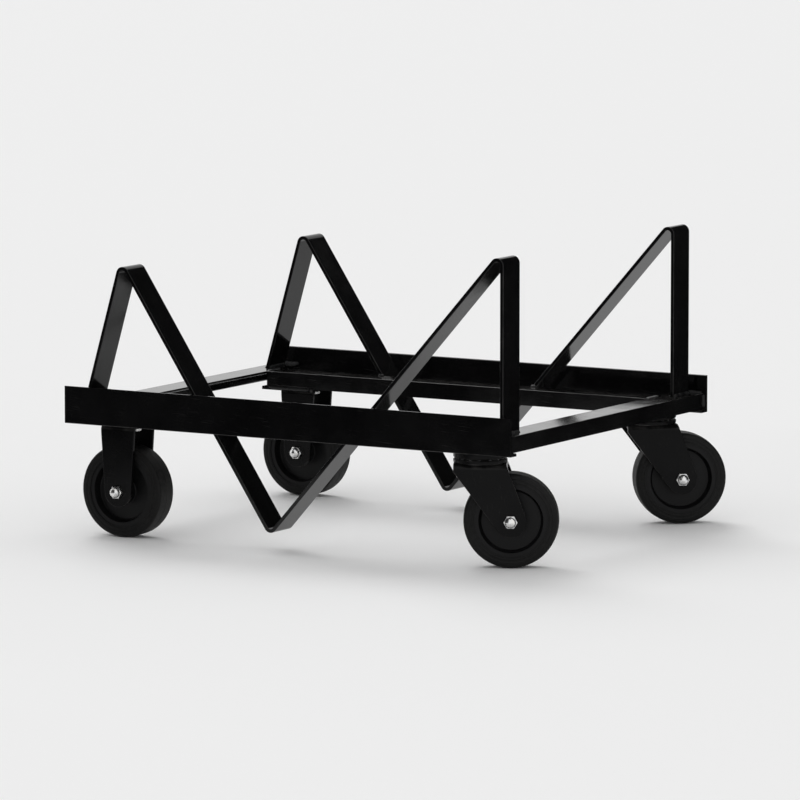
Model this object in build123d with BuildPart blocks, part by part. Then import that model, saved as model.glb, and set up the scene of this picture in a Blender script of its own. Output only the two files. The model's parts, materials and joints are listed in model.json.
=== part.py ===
from build123d import *
import math
import os

# Low welded dolly with two V cradles, on two rigid and two swivel casters.
# X runs along the long rails, Y across them, Z up. The origin is on the floor, under the frame's middle.

# Frame over all
frame_length = 697.0
frame_width = 549.0

# Long rails: steel angle, tall leg outside, short leg at the bottom
rail_height = 51.0
rail_leg = 16.5
rail_thickness = 4.0

# Cross rails and inner rails: lower steel angles with the flat leg on top
low_rail_height = 22.0
low_rail_thickness = 4.0
cross_rail_width = 40.0
cross_rail_inset = 4.0
inner_rail_width = 34.5

# Cradle strips: one flat bar a side, bent into strut, V and post. Angles are degrees from upright
strip_width = 44.5
strip_thickness = 5.0
strip_bend_radius = 5.0
strip_edge_radius = 0.8
cradle_tip_offset = -32.2
cradle_tip_height = 22.5
left_arm_angle = 33.5
right_arm_angle = 41.7
strut_angle = 16.2
foot_setback = 19.0

# Caster places and mounting plates
rigid_caster_inset = 76.0
swivel_caster_inset = 68.0
caster_side_inset = 40.0
mount_plate_length = 84.0
mount_plate_thickness = 4.0
mount_plate_corner = 4.0

# Wheels
wheel_radius = 63.5
tyre_width = 38.0
tyre_shoulder = 5.0
tyre_depth = 14.5
rim_width = 35.0
rim_depth = 6.0
wheel_web = 14.0
hub_radius = 14.0
wheel_draft = 3.0
wheel_fillet = 2.0
hub_side_gap = 0.5

# Forks
fork_thickness = 4.0
fork_gap = 45.0
fork_bend_radius = 4.0
fork_leg_end_radius = 21.0
fork_shoulder = 10.0
fork_edge_radius = 1.0
wheel_top_clearance = 8.6
rigid_fork_half_length = 26.5
swivel_fork_half_length = 35.0
swivel_trail = 41.0
front_swivel_angle = 27.5
rear_swivel_angle = 38.5

# Swivel bearing
race_radius = 36.0
upper_race_height = 8.0
lower_race_height = 6.0
race_gap = 1.0
race_edge = 1.5
ball_radius = 3.0
ball_circle_radius = 26.0
ball_count = 12

# Axles: bolt, dome nut and sleeve
axle_radius = 5.0
sleeve_radius = 7.0
axle_hex = 16.0
axle_head_height = 6.4
axle_nut_height = 6.0
dome_radius = 7.5

# Kingpins
kingpin_radius = 6.0
kingpin_hex = 19.0
kingpin_head_height = 7.5
kingpin_nut_height = 10.0
kingpin_tail = 3.0

# Bolts of the rigid forks
fork_bolt_radius = 4.0
fork_bolt_spacing = 26.0
fork_bolt_hex = 13.0
fork_bolt_head_height = 5.3
fork_nut_height = 6.5
fork_bolt_tail = 2.0

# Clearances
running_clearance = 0.05
bolt_clearance = 0.25
thrust_clearance = 0.3

# Heights that follow from the caster, from the floor up
axle_height = wheel_radius
swivel_fork_top = 2 * wheel_radius + wheel_top_clearance + fork_thickness
lower_race_top = swivel_fork_top + lower_race_height
upper_race_bottom = lower_race_top + race_gap
caster_height = upper_race_bottom + upper_race_height
plate_top = caster_height + mount_plate_thickness
rail_bottom = plate_top - rail_thickness
deck_height = plate_top + low_rail_height

# Places that follow from the frame
strip_edge = frame_width / 2 - rail_leg
strip_middle = strip_edge - strip_width / 2
inner_rail_edge = strip_edge - strip_width
inner_rail_back = inner_rail_edge - inner_rail_width
cross_rail_face = frame_length / 2 - cross_rail_inset
cross_rail_edge = cross_rail_face - cross_rail_width
rigid_caster_x = rigid_caster_inset - frame_length / 2
swivel_caster_x = frame_length / 2 - swivel_caster_inset
caster_y = frame_width / 2 - caster_side_inset
foot_x = cross_rail_face - foot_setback
fork_half_width = fork_gap / 2 + fork_thickness
rim_radius = wheel_radius - tyre_depth

FRONT = -1
REAR = 1
LEFT = -1
RIGHT = 1


def save(piece, name):
    """Label a finished piece and write it to its own file."""
    piece.part.label = name
    export_step(piece.part, f"parts/{name}.step")


def angle_section(heel, tall_end, flat_end, thickness):
    """Draw an L section with a slightly eased heel, a round root and rounded toes.

    heel is the outer corner. The upright leg runs from it to the height tall_end, and the flat leg to
    the place flat_end along the section's first axis.
    """
    across = math.copysign(thickness, flat_end - heel[0])
    up = math.copysign(thickness, tall_end - heel[1])
    root = (heel[0] + across, heel[1] + up)
    upright_toe = (root[0], tall_end)
    flat_toe = (flat_end, root[1])
    with BuildSketch() as section:
        with BuildLine():
            Polyline(heel, (heel[0], tall_end), upright_toe, root, flat_toe, (flat_end, heel[1]), close=True)
        make_face()
        fillet(section.vertices().sort_by_distance(root)[0], radius=thickness)
        for toe in (upright_toe, flat_toe):
            fillet(section.vertices().sort_by_distance(toe)[0], radius=thickness / 2)
        fillet(section.vertices().sort_by_distance(heel)[0], radius=thickness / 4)
    return section.sketch


def long_rail(name, side):
    """Make a long rail: tall leg outside, short leg below, pointing inwards."""
    outside = side * frame_width / 2
    section = angle_section((outside, rail_bottom), rail_bottom + rail_height, side * strip_edge, rail_thickness)
    with BuildPart() as rail:
        with BuildSketch(Plane.YZ):
            add(section)
        extrude(amount=frame_length / 2, both=True)
    save(rail, name)


def cross_rail(name, end):
    """Make an end rail that sits on the long rails' short legs, coped over their round roots."""
    heel = (end * cross_rail_face, deck_height)
    section = angle_section(heel, plate_top, end * cross_rail_edge, low_rail_thickness)
    reach = frame_width / 2 - rail_thickness
    with BuildPart() as rail:
        with BuildSketch(Plane.XZ):
            add(section)
        extrude(amount=reach, both=True)
        with BuildSketch(Plane.YZ):
            with BuildLine():
                cope = [(reach, plate_top), (reach - rail_thickness, plate_top), (reach, plate_top + rail_thickness)]
                Polyline(*cope, close=True)
            make_face()
            mirror(about=Plane.YZ)
        extrude(amount=frame_length / 2, both=True, mode=Mode.SUBTRACT)
    save(rail, name)


def inner_rail(name, side):
    """Make the rail that holds a cradle strip from inside, between the two cross rails."""
    heel = (side * inner_rail_back, deck_height)
    section = angle_section(heel, plate_top, side * inner_rail_edge, low_rail_thickness)
    with BuildPart() as rail:
        with BuildSketch(Plane.YZ):
            add(section)
        extrude(amount=cross_rail_edge, both=True)
    save(rail, name)


def strip_side(offset):
    """Give the corners of one face of a cradle strip, offset sideways from the strip's middle line.

    The middle line is four straight runs, each given by one point and its angle from upright.
    """
    tip = (cradle_tip_offset, cradle_tip_height)
    runs = [
        ((-foot_x, deck_height), strut_angle),
        (tip, -left_arm_angle),
        (tip, right_arm_angle),
        ((foot_x, deck_height), 0.0),
    ]
    turns = [1, -1, 1, -1]
    lines = []
    for ((x, z), angle), turn in zip(runs, turns):
        slope = math.tan(math.radians(angle))
        shift = turn * offset / math.cos(math.radians(angle))
        lines.append((x - slope * z + shift, slope))
    corners = [(lines[0][0] + lines[0][1] * deck_height, deck_height)]
    for (x_a, slope_a), (x_b, slope_b) in zip(lines, lines[1:]):
        z = (x_b - x_a) / (slope_a - slope_b)
        corners.append((x_a + slope_a * z, z))
    corners.append((lines[3][0] + lines[3][1] * deck_height, deck_height))
    return corners


def cradle_strip(name, side):
    """Make a cradle: a flat bar bent into a leaning strut, a V and an upright post."""
    near = strip_bend_radius
    far = strip_bend_radius + strip_thickness
    below = strip_side(strip_thickness / 2)
    above = strip_side(-strip_thickness / 2)
    with BuildPart() as strip:
        with BuildSketch(Plane.XZ.offset(-side * strip_middle)):
            with BuildLine():
                FilletPolyline(*below, radius=[near, far, near])
                FilletPolyline(*above, radius=[far, near, far])
                Line(below[0], above[0])
                Line(below[-1], above[-1])
            make_face()
        extrude(amount=strip_width / 2, both=True)
        across = strip.faces().sort_by(Axis.Y)
        fillet(across[0].edges() + across[-1].edges(), radius=strip_edge_radius)
    save(strip, name)


def mount_plate(name, caster_x, side, holes, hole_radius):
    """Make the plate that carries a caster, between a long rail's short leg and an inner rail."""
    with BuildPart() as plate:
        with BuildSketch(Plane.XY.offset(caster_height)):
            with Locations((caster_x, side * (strip_edge + inner_rail_back) / 2)):
                RectangleRounded(mount_plate_length, strip_edge - inner_rail_back, mount_plate_corner)
            with Locations([(caster_x + dx, side * caster_y) for dx in holes]):
                Circle(hole_radius, mode=Mode.SUBTRACT)
        extrude(amount=mount_plate_thickness)
    save(plate, name)


class CasterPlanes:
    """The planes of one caster: across its axle, along its rolling direction, and level."""

    def __init__(self, caster_x, side, angle, trail):
        turn = math.radians(angle)
        ahead = (math.cos(turn), math.sin(turn), 0)
        axle = (-math.sin(turn), math.cos(turn), 0)
        centre = (caster_x, side * caster_y, 0)
        hub = (centre[0] + trail * ahead[0], centre[1] + trail * ahead[1], axle_height)
        self.side = Plane(origin=centre, x_dir=ahead, z_dir=(-axle[0], -axle[1], 0))
        self.section = Plane(origin=centre, x_dir=axle, z_dir=ahead)
        self.level = Plane(origin=centre, x_dir=ahead, z_dir=(0, 0, 1))
        self.wheel = Plane(origin=hub, x_dir=ahead, z_dir=axle)
        self.half_wheel = Plane(origin=hub, x_dir=(0, 0, 1), z_dir=(-ahead[0], -ahead[1], 0))
        self.king_axis = Axis(centre, (0, 0, 1))
        self.wheel_axis = Axis(hub, axle)


def fork(name, planes, top, half_length, trail, holes, hole_radius):
    """Make a pressed fork: an inverted U whose legs narrow towards the axle, with rounded outer edges."""
    depth = top - axle_height + fork_leg_end_radius
    with BuildPart() as outline:
        with BuildSketch(planes.side):
            with Locations((0, top)):
                Rectangle(2 * half_length, fork_shoulder, align=(Align.CENTER, Align.MAX))
            with Locations((trail, axle_height)):
                Circle(fork_leg_end_radius)
            make_hull()
        extrude(amount=fork_half_width, both=True)
        cheeks = outline.faces().sort_by(planes.wheel_axis)
        fillet(cheeks[0].edges() + cheeks[-1].edges(), radius=fork_edge_radius)
    with BuildPart() as body:
        with BuildSketch(planes.section) as section:
            with Locations((0, top)):
                Rectangle(2 * fork_half_width, depth, align=(Align.CENTER, Align.MAX))
            fillet(section.vertices().group_by(Axis.Y)[-1], radius=fork_bend_radius + fork_thickness)
            with BuildSketch(mode=Mode.PRIVATE) as space:
                with Locations((0, top - fork_thickness)):
                    Rectangle(fork_gap, depth, align=(Align.CENTER, Align.MAX))
                fillet(space.vertices().group_by(Axis.Y)[-1], radius=fork_bend_radius)
            add(space.sketch, mode=Mode.SUBTRACT)
        extrude(amount=half_length + trail + fork_leg_end_radius, both=True)
        add(outline.part, mode=Mode.INTERSECT)
        with BuildSketch(planes.side):
            with Locations((trail, axle_height)):
                Circle(axle_radius + bolt_clearance)
        extrude(amount=fork_half_width, both=True, mode=Mode.SUBTRACT)
        with BuildSketch(planes.level.offset(top)):
            with Locations([(dx, 0) for dx in holes]):
                Circle(hole_radius)
        extrude(amount=-fork_thickness, mode=Mode.SUBTRACT)
    save(body, name)


def hexagon(across_flats):
    """Draw a hexagon of a spanner size in the current sketch."""
    RegularPolygon(across_flats / 2, 6, major_radius=False)


def axle(prefix, planes):
    """Make an axle: sleeve between the legs, bolt through them, dome nut on the outer face."""
    with BuildPart() as sleeve:
        with BuildSketch(planes.wheel):
            Circle(sleeve_radius)
            Circle(axle_radius + bolt_clearance, mode=Mode.SUBTRACT)
        extrude(amount=fork_gap / 2, both=True)
    save(sleeve, f"{prefix}_axle_sleeve")

    with BuildPart() as bolt:
        with BuildSketch(planes.wheel.offset(-fork_half_width - axle_nut_height)):
            Circle(axle_radius)
        extrude(amount=2 * fork_half_width + axle_nut_height)
        with BuildSketch(planes.wheel.offset(fork_half_width)):
            hexagon(axle_hex)
        extrude(amount=axle_head_height)
    save(bolt, f"{prefix}_axle_bolt")

    nut_face = -fork_half_width - axle_nut_height
    with BuildPart() as nut:
        with BuildSketch(planes.wheel.offset(nut_face)):
            hexagon(axle_hex)
        extrude(amount=axle_nut_height)
        with BuildSketch(planes.half_wheel):
            with BuildLine():
                Line((0, nut_face), (0, nut_face - dome_radius))
                RadiusArc((0, nut_face - dome_radius), (dome_radius, nut_face), -dome_radius)
                Line((dome_radius, nut_face), (0, nut_face))
            make_face()
        revolve(axis=planes.wheel_axis)
        with BuildSketch(planes.wheel.offset(nut_face - bolt_clearance)):
            Circle(axle_radius + running_clearance)
        extrude(amount=axle_nut_height + bolt_clearance, mode=Mode.SUBTRACT)
    save(nut, f"{prefix}_axle_nut")


def wheel(prefix, planes):
    """Make a wheel: a dished plastic core that turns on the sleeve, and a rubber tyre with round shoulders."""
    bore = sleeve_radius + running_clearance
    hub_half = fork_gap / 2 - hub_side_gap
    rim_inside = rim_radius - rim_depth
    with BuildPart() as core:
        with BuildSketch(planes.half_wheel) as half:
            with BuildLine():
                Polyline(
                    (bore, 0),
                    (bore, hub_half),
                    (hub_radius, hub_half),
                    (hub_radius + wheel_draft, wheel_web / 2),
                    (rim_inside - wheel_draft, wheel_web / 2),
                    (rim_inside, rim_width / 2),
                    (rim_radius, rim_width / 2),
                    (rim_radius, 0),
                )
                mirror(about=Plane.XZ)
            make_face()
            for face in (-wheel_web / 2, wheel_web / 2):
                for foot in (hub_radius + wheel_draft, rim_inside - wheel_draft):
                    fillet(half.vertices().sort_by_distance((foot, face))[0], radius=wheel_fillet)
        revolve(axis=planes.wheel_axis)
    save(core, f"{prefix}_wheel_core")

    with BuildPart() as tyre:
        with BuildSketch(planes.half_wheel) as section:
            with Locations((wheel_radius, 0)):
                Rectangle(tyre_depth - running_clearance, tyre_width, align=(Align.MAX, Align.CENTER))
            fillet(section.vertices().group_by(Axis.X)[-1], radius=tyre_shoulder)
        revolve(axis=planes.wheel_axis)
    save(tyre, f"{prefix}_tyre")


def race(name, planes, bottom, top, bore):
    """Make one half of the swivel bearing: a disc with half of the balls' groove in its face."""
    groove_height = (lower_race_top + upper_race_bottom) / 2
    with BuildPart() as disc:
        with BuildSketch(planes.level.offset(bottom)):
            Circle(race_radius)
            Circle(bore, mode=Mode.SUBTRACT)
        extrude(amount=top - bottom)
        chamfer(disc.edges().filter_by(GeomType.CIRCLE).sort_by(SortBy.RADIUS)[-2:], length=race_edge)
        with BuildSketch(planes.side):
            with Locations((ball_circle_radius, groove_height)):
                Circle(ball_radius + running_clearance)
        revolve(axis=planes.king_axis, mode=Mode.SUBTRACT)
    save(disc, name)


def swivel_bearing(prefix, planes):
    """Make the two races, the balls between them, and the kingpin with its nut."""
    fixed_bore = kingpin_radius + bolt_clearance
    turning_bore = kingpin_radius + running_clearance
    race(f"{prefix}_upper_race", planes, upper_race_bottom, caster_height, fixed_bore)
    race(f"{prefix}_lower_race", planes, swivel_fork_top, lower_race_top, turning_bore)

    with BuildPart() as balls:
        with Locations(planes.level.offset((lower_race_top + upper_race_bottom) / 2)):
            with PolarLocations(ball_circle_radius, ball_count):
                Sphere(ball_radius)
    save(balls, f"{prefix}_swivel_balls")

    head_top = swivel_fork_top - fork_thickness - thrust_clearance
    nut_top = plate_top + kingpin_nut_height
    with BuildPart() as kingpin:
        with BuildSketch(planes.level.offset(head_top)):
            Circle(kingpin_radius)
        extrude(amount=nut_top + kingpin_tail - head_top)
        with BuildSketch(planes.level.offset(head_top)):
            hexagon(kingpin_hex)
        extrude(amount=-kingpin_head_height)
    save(kingpin, f"{prefix}_kingpin")

    with BuildPart() as nut:
        with BuildSketch(planes.level.offset(plate_top)):
            hexagon(kingpin_hex)
            Circle(kingpin_radius + running_clearance, mode=Mode.SUBTRACT)
        extrude(amount=kingpin_nut_height)
    save(nut, f"{prefix}_kingpin_nut")


def fork_fasteners(places):
    """Make the bolts and nuts that hold the rigid forks under their plates."""
    head_top = caster_height - fork_thickness
    shank_length = fork_thickness + mount_plate_thickness + fork_nut_height + fork_bolt_tail
    with BuildPart() as bolts:
        with BuildSketch(Plane.XY.offset(head_top)):
            with Locations(places):
                hexagon(fork_bolt_hex)
        extrude(amount=-fork_bolt_head_height)
        with BuildSketch(Plane.XY.offset(head_top)):
            with Locations(places):
                Circle(fork_bolt_radius)
        extrude(amount=shank_length)
    save(bolts, "rigid_fork_bolts")

    with BuildPart() as nuts:
        with BuildSketch(Plane.XY.offset(plate_top)):
            with Locations(places):
                hexagon(fork_bolt_hex)
            with Locations(places):
                Circle(fork_bolt_radius + running_clearance, mode=Mode.SUBTRACT)
        extrude(amount=fork_nut_height)
    save(nuts, "rigid_fork_nuts")


os.makedirs("parts", exist_ok=True)

# Frame
sides = {"front": FRONT, "rear": REAR}
for side_name, side in sides.items():
    long_rail(f"{side_name}_rail", side)
    inner_rail(f"{side_name}_inner_rail", side)
    cradle_strip(f"{side_name}_cradle_strip", side)
cross_rail("left_cross_rail", LEFT)
cross_rail("right_cross_rail", RIGHT)

# Rigid casters at the left end
bolt_holes = [-fork_bolt_spacing / 2, fork_bolt_spacing / 2]
bolt_hole_radius = fork_bolt_radius + bolt_clearance
for side_name, side in sides.items():
    prefix = f"{side_name}_left"
    planes = CasterPlanes(rigid_caster_x, side, 0.0, 0.0)
    mount_plate(f"{prefix}_mount_plate", rigid_caster_x, side, bolt_holes, bolt_hole_radius)
    fork(f"{prefix}_fork", planes, caster_height, rigid_fork_half_length, 0.0, bolt_holes, bolt_hole_radius)
    axle(prefix, planes)
    wheel(prefix, planes)
fork_fasteners([(rigid_caster_x + dx, side * caster_y) for side in sides.values() for dx in bolt_holes])

# Swivel casters at the right end
swivel_angles = {"front": front_swivel_angle, "rear": rear_swivel_angle}
for side_name, side in sides.items():
    prefix = f"{side_name}_right"
    planes = CasterPlanes(swivel_caster_x, side, swivel_angles[side_name], swivel_trail)
    mount_plate(f"{prefix}_mount_plate", swivel_caster_x, side, [0.0], kingpin_radius + bolt_clearance)
    fork(
        f"{prefix}_fork",
        planes,
        swivel_fork_top,
        swivel_fork_half_length,
        swivel_trail,
        [0.0],
        kingpin_radius + running_clearance,
    )
    swivel_bearing(prefix, planes)
    axle(prefix, planes)
    wheel(prefix, planes)
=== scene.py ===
import json
import math

import bpy
import numpy as np
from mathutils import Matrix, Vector


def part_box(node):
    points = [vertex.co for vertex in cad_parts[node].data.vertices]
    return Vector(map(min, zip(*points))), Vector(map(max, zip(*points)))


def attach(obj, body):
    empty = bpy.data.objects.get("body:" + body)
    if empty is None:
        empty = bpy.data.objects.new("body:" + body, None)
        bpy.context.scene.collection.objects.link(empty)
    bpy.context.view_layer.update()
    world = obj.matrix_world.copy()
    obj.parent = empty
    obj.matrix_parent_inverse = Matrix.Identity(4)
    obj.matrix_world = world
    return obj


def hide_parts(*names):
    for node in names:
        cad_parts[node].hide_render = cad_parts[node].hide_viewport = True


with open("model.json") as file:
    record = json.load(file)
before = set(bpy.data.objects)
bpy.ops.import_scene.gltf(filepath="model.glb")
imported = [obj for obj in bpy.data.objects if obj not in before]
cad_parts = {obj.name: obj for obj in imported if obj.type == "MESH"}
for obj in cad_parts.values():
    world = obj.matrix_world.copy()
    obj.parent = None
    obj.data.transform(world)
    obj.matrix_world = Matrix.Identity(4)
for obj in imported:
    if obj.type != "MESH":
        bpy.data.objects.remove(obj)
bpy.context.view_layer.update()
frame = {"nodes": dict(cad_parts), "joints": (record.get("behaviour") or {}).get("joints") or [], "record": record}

MM = 0.001
UP = np.array([0.0, 0.0, 1.0])
ALONG = np.array([1.0, 0.0, 0.0])
ACROSS = np.array([0.0, 1.0, 0.0])
SIDES = {"front": -1, "rear": 1}
ENDS = {"left": -1, "right": 1}
FULL_TURN = 2 * math.pi
QUARTER_TURN = math.pi / 2
SIXTH_TURN = math.pi / 3
NEARLY_UPRIGHT = 0.9
SHARP_ANGLE = math.radians(28.0)

# Camera: the photograph's standpoint, aimed at the trolley with a longer lens
CAMERA_PLACE = (4.8835, -8.258, 1.3938)
CAMERA_AIM = (0.012, 0.012, 0.178)
CAMERA_LENS = 318.0
CAMERA_REACH = 200.0
SENSOR_WIDTH = 36.0

# Floor, room and lamp
FLOOR_HALF = 60.0
FLOOR_COLOUR = (0.90, 0.90, 0.90, 1.0)
FLOOR_ROUGHNESS = 0.8
FLOOR_SPECULAR = 0.1
ROOM_COLOUR = (1.0, 1.0, 1.0, 1.0)
ROOM_STRENGTH = 0.70
BACKDROP_STRENGTH = 0.95
SUN_FROM = (-0.55, 0.50, 0.80)
SUN_STRENGTH = 1.0
SUN_ANGLE = 0.6

# Dark sheets beside the trolley, out of the picture, which only reflections show: painted shade in the
# reflections, standing in for a dark room on those sides
REFLECTION_SHADE_TURNS = (math.radians(55.0), math.radians(239.0))
REFLECTION_SHADE_DISTANCE = 1.0
REFLECTION_SHADE_HALF_WIDTH = 0.7
REFLECTION_SHADE_HEIGHT = 1.6
REFLECTION_SHADE_COLOUR = (0.02, 0.02, 0.02, 1.0)
REFLECTION_SHADE_ROUGHNESS = 1.0
REFLECTION_SHADE_SPECULAR = 0.0

# Spans of values: a whole one, a falling one, and the one that holds most of a noise
WHOLE = (0.0, 1.0)
FALLING = (1.0, 0.0)
NOISE_SPAN = (0.3, 0.7)

# Black enamel. A noise is its features to the metre and its detail, a relief its strength and depth
ENAMEL_DARK = (0.0020, 0.0020, 0.0022, 1.0)
ENAMEL_LIGHT = (0.0048, 0.0048, 0.0050, 1.0)
ENAMEL_DUST = (0.022, 0.021, 0.0195, 1.0)
ENAMEL_WORN = (0.034, 0.033, 0.032, 1.0)
ENAMEL_CLOUD = (14.0, 5.0)
ENAMEL_SPECKS = (950.0, 5.0)
ENAMEL_RUBS = (48.0, 6.0)
ENAMEL_PATCHES = (33.0, 4.0)
ENAMEL_ROLLING = (60.0, 4.0)
ENAMEL_SKIN = (520.0, 1.0)
ROLLING_RELIEF = (0.25, 0.15 * MM)
WORN_ROUGHNESS = (0.0, 0.38)

# Enamel of the frame and of the forks: gloss, orange peel, and how the rolling marks are drawn out
FRAME_SPECULAR = 0.25
FRAME_ROUGHNESS = (0.08, 0.16)
FRAME_PEEL = (0.08, 0.10 * MM)
FRAME_ROLLING = (0.25, 0.25, 1.0)
CROSS_RAIL_ROLLING = (1.0, 0.25, 1.0)
FORK_SPECULAR = 0.10
FORK_ROUGHNESS = (0.16, 0.26)
FORK_PEEL = (0.12, 0.10 * MM)
FORK_ROLLING = (1.0, 1.0, 0.3)

# Dust on faces that look up
DUST_SPAN = (0.75, 1.0)
SPECK_SPAN = (0.42, 0.74)
SPECK_DUST = (0.25, 1.0)
CLOUD_DUST = (0.35, 1.0)

# Wear on rounded edges, and scratches with their lengths and small turns
EDGE_RISE_SPAN = (0.10, 0.40)
EDGE_FALL_SPAN = (0.85, 0.99)
EDGE_RUB_SPAN = (0.40, 0.62)
EDGE_WEAR = (0.15, 1.0)
SCRATCH_NOISE = (1300.0, 1.0)
SCRATCH_SPAN = (0.67, 0.76)
SCRATCH_RUB_SPAN = (0.46, 0.62)
SCRATCH_WEAR = (0.0, 0.5)
LONG_SCRATCHES = ((70.0, 1.0, 1.0), (0.0, 0.08, 0.012))
CROSS_SCRATCHES = ((1.0, 60.0, 1.0), (0.012, 0.0, 0.06))
UPRIGHT_SCRATCHES = ((1.0, 1.0, 60.0), (0.07, 0.012, 0.0))

# Enamel on the welds
WELD_CLOUD = (90.0, 4.0)
WELD_ROUGHNESS = (0.24, 0.36)
WELD_PITS = (900.0, 2.0)
WELD_PIT_RELIEF = (0.30, 0.12 * MM)

# Moulded plastic and rubber of the wheels
WHEEL_SPECULAR = 0.18
CORE_DARK = (0.0032, 0.0032, 0.0034, 1.0)
CORE_LIGHT = (0.0062, 0.0062, 0.0065, 1.0)
CORE_CLOUD = (40.0, 4.0)
CORE_ROUGHNESS = (0.36, 0.50)
CORE_GRAIN = (1500.0, 2.0)
CORE_GRAIN_RELIEF = (0.25, 0.06 * MM)
RUBBER_DARK = (0.0036, 0.0036, 0.0036, 1.0)
RUBBER_LIGHT = (0.0075, 0.0074, 0.0072, 1.0)
RUBBER_DUST = (0.024, 0.023, 0.022, 1.0)
RUBBER_BLOOM = (26.0, 5.0)
RUBBER_SCUFFS = (210.0, 5.0)
RUBBER_ROUGHNESS = (0.48, 0.68)
RUBBER_LINES = (1700.0, 2.0)
RUBBER_LINE_RELIEF = (0.30, 0.08 * MM)
RUBBER_GRAIN = (1100.0, 3.0)
RUBBER_GRAIN_RELIEF = (0.25, 0.08 * MM)
TREAD_DUST_SPAN = (0.42, 0.70)
TREAD_DUST = (0.0, 0.8)

# Bright metal
ZINC_COOL = (0.78, 0.79, 0.81, 1.0)
ZINC_WARM = (0.84, 0.83, 0.80, 1.0)
ZINC_TINGE = (160.0, 3.0)
ZINC_CLOUD = (420.0, 4.0)
ZINC_ROUGHNESS = (0.20, 0.36)
ZINC_MARKS = (900.0, 2.0)
ZINC_MARK_STRETCH = (1.0, 1.0, 0.15)
ZINC_MARK_RELIEF = (0.18, 0.04 * MM)
STEEL_DARK = (0.52, 0.53, 0.55, 1.0)
STEEL_LIGHT = (0.66, 0.67, 0.69, 1.0)
STEEL_FILM = (300.0, 4.0)
STEEL_ROUGHNESS = (0.10, 0.24)

# Tyre
WHEEL_RADIUS = 63.5 * MM
TYRE_INSIDE = 49.05 * MM
TYRE_HALF_WIDTH = 19.0 * MM
TYRE_SHOULDER = 5.0 * MM
TREAD_CROWN = 0.35 * MM
TREAD_EDGE_SPAN = (WHEEL_RADIUS - 2.5 * MM, WHEEL_RADIUS - 0.5 * MM)
PARTING_LINE_HEIGHT = 0.22 * MM
PARTING_LINE_HALF = 0.45 * MM
PARTING_BAND = 3 * PARTING_LINE_HALF
TREAD_START = 4 * PARTING_LINE_HALF
SIDE_RING_RADII = (51.6 * MM, 56.2 * MM)
SIDE_RING_HEIGHT = 0.45 * MM
SIDE_RING_HALF = 0.7 * MM
TYRE_STEPS = 168
SIDE_STEPS = 34
SHOULDER_STEPS = 9
TREAD_STEPS = 10
PARTING_STEPS = 9

# Axle bolts and dome nuts
FORK_HALF_WIDTH = 26.5 * MM
AXLE_HEX = 16.0 * MM
AXLE_HEAD = 6.4 * MM
AXLE_NUT = 6.0 * MM
AXLE_GRIP = 0.8 * AXLE_NUT
AXLE_RADIUS = 5.0 * MM
DOME_RADIUS = 7.5 * MM
DOME_STEPS = 12
DOME_END = 0.97 * QUARTER_TURN

# Kingpins and the bolts of the rigid forks
KINGPIN = {
    "across_flats": 19.0 * MM,
    "head": 7.5 * MM,
    "nut": 10.0 * MM,
    "radius": 6.0 * MM,
    "pitch": 1.75 * MM,
}
FORK_BOLT = {
    "across_flats": 13.0 * MM,
    "head": 5.3 * MM,
    "nut": 6.5 * MM,
    "radius": 4.0 * MM,
    "pitch": 1.25 * MM,
}
FORK_BOLT_SPACING = 26.0 * MM

# Balls of the swivels
BALL_RADIUS = 3.0 * MM
BALL_CIRCLE = 26.0 * MM
BALL_COUNT = 12
BALL_STEPS = 15
BALL_END = 0.97 * QUARTER_TURN

# Detail of the fasteners, as shares of the spanner size, the bolt's radius or the thread's pitch
FASTENER_SIDES = 48
FASTENER_TURNS = np.linspace(0.0, FULL_TURN, FASTENER_SIDES, endpoint=False)
ALL_ROUND = np.ones(FASTENER_SIDES)
CHAMFER_SLOPE = math.tan(math.radians(30.0))
WASHER_FACE = 0.4 * MM
WASHER_SHARE = 0.475
BOLT_TIP_SHARE = 0.85
BOLT_TIP_LENGTH = 0.15
NUT_MOUTH_SHARE = 1.18
NUT_MOUTH_DEPTH = 0.12
THREAD_STEPS = 8
THREAD_DEPTH = 0.5
THREAD_TIP_LENGTH = 0.6
THREAD_TIP_SHARE = 0.5
THREAD_TIP_POWER = 0.25

# Weld beads: legs and sections
FILLET_LEG = 3.6 * MM
BUTT_LEG = 3.2 * MM
TACK_LEG = 3.0 * MM
FILLET_STEPS = 9
FILLET_FULLNESS = 0.22
BUTT_STEPS = 13
BUTT_RISE = 0.4
BUTT_ROOT = 0.2
WELD_SINK = 0.3 * MM

# Weld beads: ripples, slow wander and tapered ends
RIPPLE_LENGTH = 1.9 * MM
RIPPLE_RISE = 0.055
RIPPLE_LAG = 0.35
RIPPLE_STEPS = 8
FEWEST_RIPPLES = 2
WANDER_RISE = 0.06
WANDER_LENGTH = 17.0 * MM
WANDER_CROWDING = 0.3
SECOND_WAVE_SHARE = 0.6
SECOND_WAVE_RATE = 1.7
SECOND_WAVE_PHASE = 0.3 * MM
BEAD_END_SHARE = 0.25
BEAD_END_POWER = 8

# Cradle strips as they are bent, and where the beads stop short of an edge or run past it
STRIP_THICKNESS = 5.0 * MM
FOOT_X = 325.5 * MM
FOOT_ANGLES = {"left": math.radians(16.2), "right": 0.0}
ARM_ANGLES = {"left": math.radians(33.5), "right": math.radians(41.7)}
CRADLE_TIP_X = -32.2 * MM
CRADLE_TIP_Z = 22.5 * MM
FOOT_WELD_INSET = 1.0 * MM
CROSS_WELD_INSET = 2.0 * MM
INNER_WELD_INSETS = (2.0 * MM, 3.0 * MM)
PLATE_WELD_INSETS = (5.0 * MM, 3.0 * MM)
CROSSING_WELD_OVERRUN = 1.0 * MM


def material(name):
    """Start a node material and give it with its node tree and its surface shader."""
    made = bpy.data.materials.new(name)
    made.use_nodes = True
    return made, made.node_tree, made.node_tree.nodes["Principled BSDF"]


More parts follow.
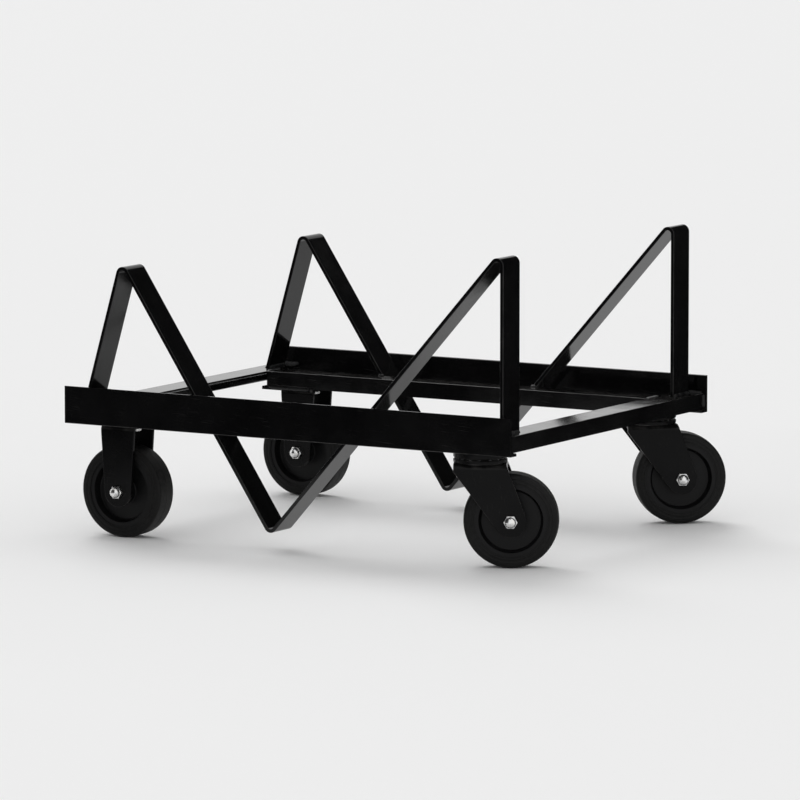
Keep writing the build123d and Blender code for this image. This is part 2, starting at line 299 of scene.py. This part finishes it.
def node(tree, kind, **values):
    """Add a node, setting its sockets by name and its properties by attribute."""
    made = tree.nodes.new(kind)
    for key, value in values.items():
        if key in made.inputs:
            made.inputs[key].default_value = value
        else:
            setattr(made, key, value)
    return made


def place_on(tree):
    """The place on the piece, in the metres of its object."""
    return node(tree, "ShaderNodeTexCoord").outputs["Object"]


def noise(tree, place, grain, **mapping_values):
    """Noise of a grain, features to the metre and detail, at a place that a mapping turns or stretches."""
    scale, detail = grain
    mapping = node(tree, "ShaderNodeMapping", **mapping_values)
    tree.links.new(place, mapping.inputs["Vector"])
    made = node(tree, "ShaderNodeTexNoise", Scale=scale, Detail=detail)
    tree.links.new(mapping.outputs["Vector"], made.inputs["Vector"])
    return made.outputs["Fac"]


def spread(tree, value, result, span=NOISE_SPAN):
    """Turn a value that goes through a span into one that goes through the result, and no further."""
    made = node(tree, "ShaderNodeMapRange")
    for name, limit in zip(("From Min", "From Max", "To Min", "To Max"), (*span, *result)):
        made.inputs[name].default_value = limit
    tree.links.new(value, made.inputs["Value"])
    return made.outputs["Result"]


def tint(tree, factor, first, second):
    """Mix from the first colour to the second. Either may be a colour or another node's output."""
    made = node(tree, "ShaderNodeMix", data_type="RGBA")
    tree.links.new(factor, made.inputs["Factor"])
    for name, colour in (("A", first), ("B", second)):
        if isinstance(colour, tuple):
            made.inputs[name].default_value = colour
        else:
            tree.links.new(colour, made.inputs[name])
    return made.outputs["Result"]


def worked_out(tree, operation, first, second):
    """One value from two, by a maths node's operation."""
    made = node(tree, "ShaderNodeMath", operation=operation)
    tree.links.new(first, made.inputs[0])
    tree.links.new(second, made.inputs[1])
    return made.outputs["Value"]


def product(tree, first, second):
    """Multiply two values."""
    return worked_out(tree, "MULTIPLY", first, second)


def greater(tree, first, second):
    """Take the greater of two values."""
    return worked_out(tree, "MAXIMUM", first, second)


def dress(tree, shader, colour, roughness, layers=()):
    """Link the shader's colour and roughness, and chain bumps from layers of height, strength and depth."""
    tree.links.new(colour, shader.inputs["Base Color"])
    tree.links.new(roughness, shader.inputs["Roughness"])
    normal = None
    for height, strength, depth in layers:
        bump = node(tree, "ShaderNodeBump", Strength=strength, Distance=depth)
        tree.links.new(height, bump.inputs["Height"])
        if normal is not None:
            tree.links.new(normal, bump.inputs["Normal"])
        normal = bump.outputs["Normal"]
    if normal is not None:
        tree.links.new(normal, shader.inputs["Normal"])


def rounding(tree, part):
    """1 on a rounded edge and 0 on flat faces, from the part of the normal that swings across the edge."""
    size = node(tree, "ShaderNodeMath", operation="ABSOLUTE")
    tree.links.new(part, size.inputs[0])
    rise = spread(tree, size.outputs["Value"], WHOLE, EDGE_RISE_SPAN)
    fall = spread(tree, size.outputs["Value"], FALLING, EDGE_FALL_SPAN)
    return product(tree, rise, fall)


def scratching(tree, place, length, turn):
    """1 along sparse thin lines: a fine noise, turned a little and drawn out to a length on each axis."""
    lines = noise(tree, place, SCRATCH_NOISE, vector_type="TEXTURE", Scale=length, Rotation=turn)
    return spread(tree, lines, WHOLE, SCRATCH_SPAN)


def enamel(name, specular, roughness, peel, rolling_stretch, swing, scratches):
    """Black enamel on steel.

    Uneven tone and gloss, orange peel, rolling marks under it, dust where faces look up, fine scratches, and
    thin greyer paint along the edges across which the normal's part named by swing changes.
    """
    made, tree, shader = material(name)
    coordinates = node(tree, "ShaderNodeTexCoord")
    place = coordinates.outputs["Object"]
    parts = node(tree, "ShaderNodeSeparateXYZ")
    tree.links.new(coordinates.outputs["Normal"], parts.inputs["Vector"])
    cloud = noise(tree, place, ENAMEL_CLOUD)
    specks = noise(tree, place, ENAMEL_SPECKS)
    rubs = noise(tree, place, ENAMEL_RUBS)
    film = product(tree, spread(tree, specks, SPECK_DUST, SPECK_SPAN), spread(tree, cloud, CLOUD_DUST))
    dust = product(tree, spread(tree, parts.outputs["Z"], WHOLE, DUST_SPAN), film)
    wear = product(tree, rounding(tree, parts.outputs[swing]), spread(tree, rubs, EDGE_WEAR, EDGE_RUB_SPAN))
    handled = spread(tree, rubs, SCRATCH_WEAR, SCRATCH_RUB_SPAN)
    for length, turn in scratches:
        wear = greater(tree, wear, product(tree, scratching(tree, place, length, turn), handled))
    tone = tint(tree, spread(tree, cloud, WHOLE), ENAMEL_DARK, ENAMEL_LIGHT)
    colour = tint(tree, wear, tint(tree, dust, tone, ENAMEL_DUST), ENAMEL_WORN)
    patches = spread(tree, noise(tree, place, ENAMEL_PATCHES), roughness)
    dull = greater(tree, patches, spread(tree, wear, WORN_ROUGHNESS, WHOLE))
    rolling = noise(tree, place, ENAMEL_ROLLING, Scale=rolling_stretch)
    skin = noise(tree, place, ENAMEL_SKIN)
    dress(tree, shader, colour, dull, [(rolling, *ROLLING_RELIEF), (skin, *peel)])
    shader.inputs["Specular IOR Level"].default_value = specular
    return made


def weld_enamel(name):
    """The same enamel on weld beads: rounder gloss and small spatter pits."""
    made, tree, shader = material(name)
    place = place_on(tree)
    cloud = noise(tree, place, WELD_CLOUD)
    colour = tint(tree, spread(tree, cloud, WHOLE), ENAMEL_DARK, ENAMEL_LIGHT)
    pits = noise(tree, place, WELD_PITS)
    dress(tree, shader, colour, spread(tree, cloud, WELD_ROUGHNESS), [(pits, *WELD_PIT_RELIEF)])
    shader.inputs["Specular IOR Level"].default_value = FRAME_SPECULAR
    return made


def moulded_core(name):
    """Black moulded plastic: fine spark-eroded grain, slightly cloudy tone, dull sheen."""
    made, tree, shader = material(name)
    place = place_on(tree)
    cloud = noise(tree, place, CORE_CLOUD)
    colour = tint(tree, spread(tree, cloud, WHOLE), CORE_DARK, CORE_LIGHT)
    grain = noise(tree, place, CORE_GRAIN)
    dress(tree, shader, colour, spread(tree, cloud, CORE_ROUGHNESS), [(grain, *CORE_GRAIN_RELIEF)])
    shader.inputs["Specular IOR Level"].default_value = WHEEL_SPECULAR
    return made


def tyre_rubber(name):
    """Black rubber: turning lines round the tread, cloudy bloom, and dust caught on the running face."""
    made, tree, shader = material(name)
    place = place_on(tree)
    profile = node(tree, "ShaderNodeAttribute", attribute_name="profile").outputs["Vector"]
    parts = node(tree, "ShaderNodeSeparateXYZ")
    tree.links.new(profile, parts.inputs["Vector"])
    tread = spread(tree, parts.outputs["Y"], WHOLE, TREAD_EDGE_SPAN)
    bloom = noise(tree, place, RUBBER_BLOOM)
    scuffs = noise(tree, place, RUBBER_SCUFFS)
    dust = product(tree, tread, spread(tree, scuffs, TREAD_DUST, TREAD_DUST_SPAN))
    tone = tint(tree, spread(tree, bloom, WHOLE), RUBBER_DARK, RUBBER_LIGHT)
    colour = tint(tree, dust, tone, RUBBER_DUST)
    lines = noise(tree, profile, RUBBER_LINES)
    grain = noise(tree, place, RUBBER_GRAIN)
    layers = [(lines, *RUBBER_LINE_RELIEF), (grain, *RUBBER_GRAIN_RELIEF)]
    dress(tree, shader, colour, spread(tree, scuffs, RUBBER_ROUGHNESS), layers)
    shader.inputs["Specular IOR Level"].default_value = WHEEL_SPECULAR
    return made


def bright_zinc(name):
    """Bright zinc plate: cool to warm tinge, cloudy gloss, fine drag marks."""
    made, tree, shader = material(name)
    place = place_on(tree)
    tinge = noise(tree, place, ZINC_TINGE)
    colour = tint(tree, spread(tree, tinge, WHOLE), ZINC_COOL, ZINC_WARM)
    cloud = noise(tree, place, ZINC_CLOUD)
    marks = noise(tree, place, ZINC_MARKS, Scale=ZINC_MARK_STRETCH)
    dress(tree, shader, colour, spread(tree, cloud, ZINC_ROUGHNESS), [(marks, *ZINC_MARK_RELIEF)])
    shader.inputs["Metallic"].default_value = 1.0
    return made


def bearing_steel(name):
    """Hardened steel with a film of grease: dark and light clouds, low roughness."""
    made, tree, shader = material(name)
    film = noise(tree, place_on(tree), STEEL_FILM)
    colour = tint(tree, spread(tree, film, WHOLE), STEEL_DARK, STEEL_LIGHT)
    dress(tree, shader, colour, spread(tree, film, STEEL_ROUGHNESS))
    shader.inputs["Metallic"].default_value = 1.0
    return made


def stage_finish(name, colour, roughness, specular):
    """One even colour, for the stage."""
    made, _, shader = material(name)
    shader.inputs["Base Color"].default_value = colour
    shader.inputs["Roughness"].default_value = roughness
    shader.inputs["Specular IOR Level"].default_value = specular
    return made


def outward(points, faces):
    """Turn the faces round if the tetrahedra on each face's first triangle sum to a negative volume."""
    corners = np.array([face[:3] for face in faces])
    first, second, third = points[corners[:, 0]], points[corners[:, 1]], points[corners[:, 2]]
    if np.einsum("ij,ij->i", first, np.cross(second, third)).sum() < 0:
        return [face[::-1] for face in faces]
    return faces


def quads(rings, sides, first_rings):
    """Index the quads of a grid whose sides close on themselves, from each first ring to the next one."""
    side = np.arange(sides)
    after = (side + 1) % sides
    low = first_rings[:, None] * sides
    high = (first_rings[:, None] + 1) % rings * sides
    return np.stack([low + side, low + after, high + after, high + side], axis=-1).reshape(-1, 4).tolist()


def capped(grid):
    """Close a grid of rings by sides into a shell with one cap at each end."""
    rings, sides = grid.shape[:2]
    faces = quads(rings, sides, np.arange(rings - 1))
    faces.append(np.arange(sides)[::-1].tolist())
    faces.append((np.arange(sides) + (rings - 1) * sides).tolist())
    points = grid.reshape(-1, 3)
    return points, outward(points - points.mean(axis=0), faces)


def looped(grid):
    """Close a grid of rings by sides into a ring-shaped shell, the last ring joined to the first."""
    rings, sides = grid.shape[:2]
    points = grid.reshape(-1, 3)
    return points, outward(points - points.mean(axis=0), quads(rings, sides, np.arange(rings)))


def put(name, data):
    """Add an object with this data to the scene."""
    made = bpy.data.objects.new(name, data)
    bpy.context.scene.collection.objects.link(made)
    return made


def piece(name, shells, finish, body, replaced=()):
    """Put shells of points and faces into one mesh object that rides on a body."""
    starts = np.cumsum([0] + [len(points) for points, _ in shells])
    points = np.concatenate([points for points, _ in shells])
    faces = []
    for start, (_, shell) in zip(starts, shells):
        faces += [[corner + start for corner in face] for face in shell]
    mesh = bpy.data.meshes.new(name)
    mesh.from_pydata(points.tolist(), [], faces)
    mesh.shade_smooth()
    mesh.set_sharp_from_angle(angle=SHARP_ANGLE)
    mesh.materials.append(finish)
    made = put(name, mesh)
    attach(made, body)
    if replaced:
        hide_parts(*replaced)
    return made


def stage_plane(name, corners, finish):
    """A flat piece of the stage through four corners."""
    mesh = bpy.data.meshes.new(name)
    mesh.from_pydata(corners, [], [(0, 1, 2, 3)])
    mesh.materials.append(finish)
    made = put(name, mesh)
    return made


def look_along(made, direction):
    """Turn a lamp or the camera to look along a direction, upright."""
    made.rotation_mode = "QUATERNION"
    made.rotation_quaternion = direction.to_track_quat("-Z", "Y")


def revolved(base, axis, radius, height, turns):
    """Carry rings round an axis: base + height axis + radius (cos turn side + sin turn other side)."""
    side = np.cross(axis, UP if abs(axis[2]) < NEARLY_UPRIGHT else ALONG)
    side = side / np.linalg.norm(side)
    other = np.cross(axis, side)
    around = np.cos(turns)[:, None] * side + np.sin(turns)[:, None] * other
    return base + height[..., None] * axis + radius[..., None] * around


def ridge(offset, half):
    """A smooth bump: e to minus the square of offset over half, 1 in the middle and 0.37 at half."""
    return np.exp(-((offset / half) ** 2))


def tyre_shell(hub, axle):
    """A tyre: a closed profile of width and radius, turned round the axle.

    The sides run from the rim to the shoulder with two raised rings, the shoulders are quarter ellipses, and
    the tread falls from its middle with the square of the width and carries a thin parting line. Each point's
    width and radius are given with the shell.
    """
    flat = TYRE_HALF_WIDTH - TYRE_SHOULDER
    tread_radius = WHEEL_RADIUS - PARTING_LINE_HEIGHT
    shoulder_radius = tread_radius - TREAD_CROWN - TYRE_SHOULDER
    side_radius = np.linspace(TYRE_INSIDE, shoulder_radius, SIDE_STEPS)[:-1]
    rings = sum(ridge(side_radius - middle, SIDE_RING_HALF) for middle in SIDE_RING_RADII)
    side_width = TYRE_HALF_WIDTH - SIDE_RING_HEIGHT + SIDE_RING_HEIGHT * rings
    arc = np.linspace(0.0, QUARTER_TURN, SHOULDER_STEPS)
    arc_width = flat + (TYRE_SHOULDER - SIDE_RING_HEIGHT) * np.cos(arc)
    arc_radius = shoulder_radius + TYRE_SHOULDER * np.sin(arc)
    outer = np.linspace(flat, TREAD_START, TREAD_STEPS)[1:]
    middle = np.linspace(PARTING_BAND, 0.0, PARTING_STEPS)
    tread_width = np.concatenate([outer, middle])
    crown = tread_radius - TREAD_CROWN * (tread_width / flat) ** 2
    tread = crown + PARTING_LINE_HEIGHT * ridge(tread_width, PARTING_LINE_HALF)
    half_width = np.concatenate([side_width, arc_width, tread_width])
    half_radius = np.concatenate([side_radius, arc_radius, tread])
    width = np.concatenate([half_width, -half_width[-2::-1]])
    radius = np.concatenate([half_radius, half_radius[-2::-1]])
    turns = np.linspace(0.0, FULL_TURN, TYRE_STEPS, endpoint=False)
    grid = revolved(hub, axle, radius[:, None], width[:, None], turns)
    profile = np.stack([width, radius, np.zeros_like(width)], axis=-1)
    return looped(grid), np.repeat(profile, TYRE_STEPS, axis=0)


def turned_shell(base, axis, rings):
    """A fastener: its rings of radius and height carried round its axis, with caps."""
    radius = np.stack([ring_radius * ALL_ROUND for ring_radius, _ in rings])
    height = np.stack([ring_height * ALL_ROUND for _, ring_height in rings])
    return capped(revolved(base, axis, radius, height, FASTENER_TURNS))


def hex_rings(across_flats, height):
    """Rings of a hexagon: round washer face below, corners cut back at 30 degrees above.

    Its radius is half the spanner size over the cosine of the turn from the nearest flat.
    """
    corner = across_flats / 2 / np.cos(np.mod(FASTENER_TURNS, SIXTH_TURN) - SIXTH_TURN / 2)
    washer = WASHER_SHARE * across_flats
    drop = (corner - washer) * CHAMFER_SLOPE
    return [
        (washer, 0.0),
        (washer, WASHER_FACE),
        (corner, WASHER_FACE),
        (corner, height - drop),
        (washer, height),
    ]


def dome_nut(base, axis):
    """A dome nut: a chamfered hexagon, then nearly a quarter circle turned round the axis."""
    climb = np.linspace(0.0, DOME_END, DOME_STEPS)
    dome = [(DOME_RADIUS * math.cos(a), AXLE_NUT + DOME_RADIUS * math.sin(a)) for a in climb]
    return turned_shell(base, axis, hex_rings(AXLE_HEX, AXLE_NUT) + dome)


def ball(middle):
    """A ball: nearly a half circle turned round the upright through its middle."""
    climb = np.linspace(-BALL_END, BALL_END, BALL_STEPS)
    return turned_shell(middle, UP, [(BALL_RADIUS * math.cos(a), BALL_RADIUS * math.sin(a)) for a in climb])


def hex_bolt(base, axis, across_flats, head, radius, shank):
    """A hex bolt: shank with a cut-back tip below the bearing face, and above it a chamfered head."""
    stem = [
        (BOLT_TIP_SHARE * radius, -shank),
        (radius, -shank + BOLT_TIP_LENGTH * radius),
        (radius, 0.0),
    ]
    return turned_shell(base, axis, stem + hex_rings(across_flats, head))


def hex_nut(base, axis, across_flats, height, bore):
    """A hex nut: washer face, chamfered corners and a countersunk mouth, open to the thread."""
    mouth = [(NUT_MOUTH_SHARE * bore, height), (bore, height - NUT_MOUTH_DEPTH * bore)]
    return turned_shell(base, axis, [(bore, 0.0)] + hex_rings(across_flats, height) + mouth)


def thread(base, axis, radius, pitch, length):
    """A threaded tail: the radius falls by half the pitch in a V once for each pitch of height less turn."""
    height = np.arange(0.0, length, pitch / THREAD_STEPS)[:, None] * ALL_ROUND
    phase = height / pitch - FASTENER_TURNS / FULL_TURN
    groove = np.abs(2 * (phase - np.floor(phase)) - 1)
    tip = np.clip((length - height) / (THREAD_TIP_LENGTH * pitch), THREAD_TIP_SHARE, 1.0) ** THREAD_TIP_POWER
    cut_radius = (radius - THREAD_DEPTH * pitch * groove) * tip
    return capped(revolved(base, axis, cut_radius, height, FASTENER_TURNS))


def bolt_through(centre, low, high, plate_top, across_flats, head, nut, radius, pitch):
    """A bolt from below through a plate: the shells of its plain and threaded parts, and its nut's."""
    head_face = np.array([centre[0], centre[1], low + head])
    nut_face = np.array([centre[0], centre[1], plate_top])
    bolt = hex_bolt(head_face, -UP, across_flats, head, radius, plate_top - head_face[2])
    tail = thread(nut_face, UP, radius, pitch, high - plate_top)
    return [bolt, tail], hex_nut(nut_face, UP, across_flats, nut, radius)


def fillet_section(lie, rise):
    """A fillet weld's section round its corner: reach (cos a lie + sin a rise), fuller than straight."""
    a = np.linspace(0.0, QUARTER_TURN, FILLET_STEPS)
    reach = (1 + FILLET_FULLNESS * np.sin(2 * a)) / (np.cos(a) + np.sin(a))
    face = reach[:, None] * (np.cos(a)[:, None] * lie + np.sin(a)[:, None] * rise)
    return np.concatenate([face, np.zeros((1, 3))]), np.append(np.sin(2 * a), 0.0)


def butt_section(lie, rise):
    """A butt weld's section on a flush seam: cos a lie + sin a times a flat rise, over a half turn."""
    a = np.linspace(0.0, math.pi, BUTT_STEPS)
    face = np.cos(a)[:, None] * lie + BUTT_RISE * np.sin(a)[:, None] * rise
    return np.concatenate([face, -BUTT_ROOT * rise[None]]), np.append(np.sin(a), 0.0)


def bead(start, end, leg, section, rise):
    """A weld bead: its section carried from start to end.

    The leg swells a little once for each ripple, later in the middle of the face than at its edges. It also
    wanders with two slow waves, which crowd and stretch the ripples, and tapers near both ends with the
    eighth power of the distance from the middle.
    """
    face, lag = section
    run = np.subtract(end, start)
    length = np.linalg.norm(run)
    ripples = max(FEWEST_RIPPLES, round(length / RIPPLE_LENGTH))
    s = np.linspace(0.0, 1.0, RIPPLE_STEPS * ripples + 1)
    taper = BEAD_END_SHARE + (1 - BEAD_END_SHARE) * np.sqrt(1 - (2 * s - 1) ** BEAD_END_POWER)
    slow = FULL_TURN * s * length / WANDER_LENGTH
    second_wave = np.sin(SECOND_WAVE_RATE * slow + length / SECOND_WAVE_PHASE)
    wander = np.sin(slow) + SECOND_WAVE_SHARE * second_wave
    phase = (ripples * s + WANDER_CROWDING * wander)[:, None] - RIPPLE_LAG * lag[None]
    wave = 1 + RIPPLE_RISE * np.cos(FULL_TURN * phase) + WANDER_RISE * wander[:, None]
    middle = np.asarray(start) + s[:, None] * run - WELD_SINK * rise
    return capped(middle[:, None] + (leg * taper[:, None] * wave)[..., None] * face[None])


def nearer(low, high):
    """The lesser distance of two places from the trolley's middle."""
    return min(abs(low), abs(high))


def farther(low, high):
    """The greater distance of two places from the trolley's middle."""
    return max(abs(low), abs(high))


# Finishes of the CAD nodes, by the record's slots
frame_scratches = (LONG_SCRATCHES, CROSS_SCRATCHES)
fork_scratches = (LONG_SCRATCHES, UPRIGHT_SCRATCHES)
finishes = {
    "black_paint": enamel(
        "frame_enamel", FRAME_SPECULAR, FRAME_ROUGHNESS, FRAME_PEEL, FRAME_ROLLING, "Y", frame_scratches,
    ),
    "fork_paint": enamel(
        "fork_enamel", FORK_SPECULAR, FORK_ROUGHNESS, FORK_PEEL, FORK_ROLLING, "Z", fork_scratches,
    ),
    "core_plastic": moulded_core("moulded_core"),
    "tyre_rubber": tyre_rubber("tyre_rubber"),
    "zinc_steel": bright_zinc("bright_zinc"),
    "ball_steel": bearing_steel("bearing_steel"),
}
cross_rail_paint = enamel(
    "cross_rail_enamel", FRAME_SPECULAR, FRAME_ROUGHNESS, FRAME_PEEL, CROSS_RAIL_ROLLING, "X",
    frame_scratches,
)
weld_paint = weld_enamel("weld_enamel")
for row in frame["record"]["subparts"]:
    mesh = frame["nodes"][row["node"]].data
    mesh.materials.clear()
    mesh.materials.append(finishes[row["material_slot"]])
for end_name in ENDS:
    frame["nodes"][f"{end_name}_cross_rail"].data.materials[0] = cross_rail_paint

# Tyres, dome nuts and axle bolts, placed by the wheels' own joints
joints = {joint["name"]: joint for joint in frame["joints"]}
zinc = finishes["zinc_steel"]
for side_name in SIDES:
    for end_name, carrier in (("left", "frame"), ("right", f"{side_name}_right_swivel")):
        prefix = f"{side_name}_{end_name}"
        spin = joints[f"{prefix}_wheel_spin"]
        hub = np.array(spin["pos_m"])
        axle = np.array(spin["axis"]) / np.linalg.norm(spin["axis"])
        shell, profile = tyre_shell(hub, axle)
        tyre = piece(
            f"{prefix}_moulded_tyre", [shell], finishes["tyre_rubber"], f"{prefix}_wheel",
            [f"{prefix}_tyre"],
        )
        store = tyre.data.attributes.new("profile", "FLOAT_VECTOR", "POINT")
        store.data.foreach_set("vector", profile.ravel())
        nut = dome_nut(hub - FORK_HALF_WIDTH * axle, -axle)
        piece(f"{prefix}_dome_nut", [nut], zinc, carrier, [f"{prefix}_axle_nut"])
        shank = 2 * FORK_HALF_WIDTH + AXLE_GRIP
        bolt = hex_bolt(hub + FORK_HALF_WIDTH * axle, axle, AXLE_HEX, AXLE_HEAD, AXLE_RADIUS, shank)
        piece(f"{prefix}_hex_bolt", [bolt], zinc, carrier, [f"{prefix}_axle_bolt"])

# Kingpins, their nuts, and the balls that the swivels run on
for side_name in SIDES:
    prefix = f"{side_name}_right"
    centre = joints[f"{prefix}_swivel"]["pos_m"]
    plate_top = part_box(f"{prefix}_mount_plate")[1][2]
    pin_low, pin_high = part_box(f"{prefix}_kingpin")
    pin, nut = bolt_through(centre, pin_low[2], pin_high[2], plate_top, **KINGPIN)
    piece(f"{prefix}_kingpin_bolt", pin, zinc, "frame", [f"{prefix}_kingpin"])
    piece(f"{prefix}_kingpin_hex_nut", [nut], zinc, "frame", [f"{prefix}_kingpin_nut"])
    axle = joints[f"{prefix}_wheel_spin"]["axis"]
    ahead = math.atan2(-axle[0], axle[1])
    turns = ahead + np.linspace(0.0, FULL_TURN, BALL_COUNT, endpoint=False)
    balls_low, balls_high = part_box(f"{prefix}_swivel_balls")
    ring_middle = np.array([centre[0], centre[1], (balls_low[2] + balls_high[2]) / 2])
    places = ring_middle + BALL_CIRCLE * (np.cos(turns)[:, None] * ALONG + np.sin(turns)[:, None] * ACROSS)
    piece(
        f"{prefix}_bearing_balls", [ball(place) for place in places], finishes["ball_steel"],
        f"{prefix}_swivel", [f"{prefix}_swivel_balls"],
    )

# Bolts and nuts of the rigid forks
bolt_shells = []
nut_shells = []
bolts_low, bolts_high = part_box("rigid_fork_bolts")
for side_name in SIDES:
    hub = joints[f"{side_name}_left_wheel_spin"]["pos_m"]
    plate_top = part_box(f"{side_name}_left_mount_plate")[1][2]
    for step in (-FORK_BOLT_SPACING / 2, FORK_BOLT_SPACING / 2):
        centre = (hub[0] + step, hub[1])
        bolt, nut = bolt_through(centre, bolts_low[2], bolts_high[2], plate_top, **FORK_BOLT)
        bolt_shells += bolt
        nut_shells.append(nut)
piece("rigid_fork_hex_bolts", bolt_shells, zinc, "frame", ["rigid_fork_bolts"])
piece("rigid_fork_hex_nuts", nut_shells, zinc, "frame", ["rigid_fork_nuts"])

# Welds
foot_beads = []
cross_beads = []
inner_beads = []
plate_beads = []
crossing_beads = []
for side_name, side in SIDES.items():
    inward = -side * ACROSS
    strip_low, strip_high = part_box(f"{side_name}_cradle_strip")
    inner_low, inner_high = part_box(f"{side_name}_inner_rail")
    deck = inner_high[2]
    strip_outer = farther(strip_low[1], strip_high[1])
    strip_inner = nearer(strip_low[1], strip_high[1])
    inner_back = nearer(inner_low[1], inner_high[1])
    for end_name, end in ENDS.items():
        cross_low, cross_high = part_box(f"{end_name}_cross_rail")
        cross_outer = end * farther(cross_low[0], cross_high[0])
        cross_inner = end * nearer(cross_low[0], cross_high[0])
        cross_tip = side * cross_high[1]
        angle = FOOT_ANGLES[end_name]
        rise = np.array([math.sin(angle), 0.0, math.cos(angle)])
        half = STRIP_THICKNESS / 2 / math.cos(angle)
        for face in (-1, 1):
            x = end * FOOT_X + face * half
            start = (x, side * (strip_inner + FOOT_WELD_INSET), deck)
            stop = (x, side * (strip_outer - FOOT_WELD_INSET), deck)
            foot_beads.append(bead(start, stop, FILLET_LEG, fillet_section(face * ALONG, rise), UP))
        start = (cross_inner + end * CROSS_WELD_INSET, cross_tip, deck)
        stop = (cross_outer - end * CROSS_WELD_INSET, cross_tip, deck)
        cross_beads.append(bead(start, stop, FILLET_LEG, fillet_section(inward, UP), UP))
        start = (cross_outer, cross_tip, cross_low[2] + CROSS_WELD_INSET)
        stop = (cross_outer, cross_tip, deck - CROSS_WELD_INSET)
        cross_beads.append(bead(start, stop, TACK_LEG, fillet_section(inward, end * ALONG), end * ALONG))
        start = (cross_inner, side * (strip_inner - INNER_WELD_INSETS[0]), deck)
        stop = (cross_inner, side * (inner_back + INNER_WELD_INSETS[1]), deck)
        inner_beads.append(bead(start, stop, BUTT_LEG, butt_section(ALONG, UP), UP))
        plate_low, plate_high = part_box(f"{side_name}_{end_name}_mount_plate")
        plate_edge = side * nearer(plate_low[1], plate_high[1])
        plate_start = end * (nearer(plate_low[0], plate_high[0]) + PLATE_WELD_INSETS[0])
        start = (plate_start, plate_edge, plate_high[2])
        stop = (cross_inner - end * PLATE_WELD_INSETS[1], plate_edge, plate_high[2])
        plate_beads.append(bead(start, stop, BUTT_LEG, butt_section(UP, inward), inward))
    for end_name, end in ENDS.items():
        angle = ARM_ANGLES[end_name]
        middle = CRADLE_TIP_X + end * (deck - CRADLE_TIP_Z) * math.tan(angle)
        half = STRIP_THICKNESS / 2 / math.cos(angle) + CROSSING_WELD_OVERRUN
        start = (middle - half, side * strip_inner, deck)
        stop = (middle + half, side * strip_inner, deck)
        crossing_beads.append(bead(start, stop, TACK_LEG, fillet_section(inward, UP), UP))
piece("strip_foot_welds", foot_beads, weld_paint, "frame")
piece("cross_rail_welds", cross_beads, weld_paint, "frame")
piece("inner_rail_welds", inner_beads, weld_paint, "frame")
piece("mount_plate_welds", plate_beads, weld_paint, "frame")
piece("strip_crossing_welds", crossing_beads, weld_paint, "frame")

# Floor
floor_paint = stage_finish("floor_paint", FLOOR_COLOUR, FLOOR_ROUGHNESS, FLOOR_SPECULAR)
floor_corners = [(FLOOR_HALF * x, FLOOR_HALF * y, 0.0) for x, y in ((-1, -1), (1, -1), (1, 1), (-1, 1))]
stage_plane("floor", floor_corners, floor_paint)

# Sheets of painted shade beside the trolley, which only reflections show
painted_reflection_finish = stage_finish("painted_reflection_finish", REFLECTION_SHADE_COLOUR, REFLECTION_SHADE_ROUGHNESS, REFLECTION_SHADE_SPECULAR)
for number, turn in enumerate(REFLECTION_SHADE_TURNS, 1):
    middle = REFLECTION_SHADE_DISTANCE * np.array([math.cos(turn), math.sin(turn), 0.0])
    reach = REFLECTION_SHADE_HALF_WIDTH * np.array([-math.sin(turn), math.cos(turn), 0.0])
    top = REFLECTION_SHADE_HEIGHT * UP
    corners = np.stack([middle - reach, middle + reach, middle + reach + top, middle - reach + top])
    reflection_shade = stage_plane(f"flag_{number}", corners.tolist(), painted_reflection_finish)
    # Hidden from the camera, from diffuse light and from shadows, these sheets only paint shade into reflections
    reflection_shade.visible_camera = False
    reflection_shade.visible_diffuse = False
    reflection_shade.visible_shadow = False

# World: a plain white room, brighter to the eye and in reflections than as a light
world = bpy.data.worlds.new("studio")
bpy.context.scene.world = world
world.use_nodes = True
room = world.node_tree
background = room.nodes["Background"]
background.inputs["Color"].default_value = ROOM_COLOUR
path = node(room, "ShaderNodeLightPath")
seen = path.outputs["Is Camera Ray"]
for kind in ("Is Glossy Ray", "Is Transmission Ray"):
    seen = greater(room, seen, path.outputs[kind])
strength = spread(room, seen, (ROOM_STRENGTH, BACKDROP_STRENGTH), WHOLE)
room.links.new(strength, background.inputs["Strength"])

# Lamp
sun_lamp = bpy.data.lights.new("sun_lamp", "SUN")
sun_lamp.energy = SUN_STRENGTH
sun_lamp.angle = SUN_ANGLE
look_along(put("sun_lamp", sun_lamp), -Vector(SUN_FROM))

# Camera
camera_data = bpy.data.cameras.new("camera")
camera_data.lens = CAMERA_LENS
camera_data.sensor_width = SENSOR_WIDTH
camera_data.clip_end = CAMERA_REACH
camera = put("camera", camera_data)
camera.location = CAMERA_PLACE
look_along(camera, Vector(CAMERA_AIM) - Vector(CAMERA_PLACE))
bpy.context.scene.camera = camera
bpy.context.scene.view_settings.view_transform = "Standard"
